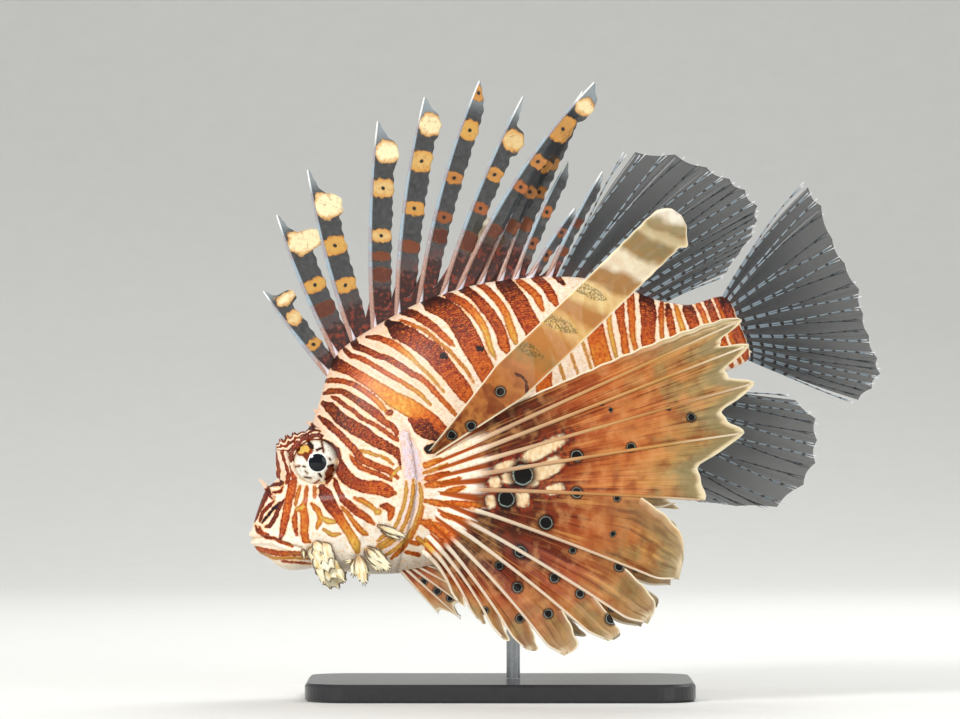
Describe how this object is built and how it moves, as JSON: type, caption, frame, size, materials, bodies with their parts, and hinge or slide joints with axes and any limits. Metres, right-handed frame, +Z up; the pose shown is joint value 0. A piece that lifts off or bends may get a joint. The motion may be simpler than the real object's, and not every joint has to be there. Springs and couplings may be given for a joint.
{
  "type": "red lionfish display model",
  "caption": "Still life-size red lionfish, swimming nose down with fins and spines spread, held up by a rod on a flat base.",
  "frame": {"origin": "centre of the display base's underside, on the floor", "axes": "+Z up; the fish faces -X with its nose tipped down; its left side faces -Y"},
  "size_m": [0.2779, 0.2221, 0.2712],
  "materials": {
    "skin": "moist satin skin, red-brown and cream bars",
    "eye": "glossy",
    "banded_fin": "moist satin fin, banded",
    "clear_fin": "thin dusky membrane with spotted rays",
    "stand_base": "satin",
    "stand_rod": "satin"
  },
  "bodies": {
    "root": {"head": "skin", "lower_jaw": "skin", "torso": "skin", "tail_stalk": "skin", "gill_cover_left": "skin", "gill_cover_right": "skin", "eye_left": "eye", "eye_right": "eye", "spiny_dorsal_fin": "banded_fin", "pectoral_fin_left": "banded_fin", "pectoral_fin_right": "banded_fin", "pelvic_fin_left": "banded_fin", "pelvic_fin_right": "banded_fin", "soft_dorsal_fin": "clear_fin", "tail_fin": "clear_fin", "anal_fin": "clear_fin", "stand_base": "stand_base", "stand_rod": "stand_rod"}
  },
  "joints": []
}
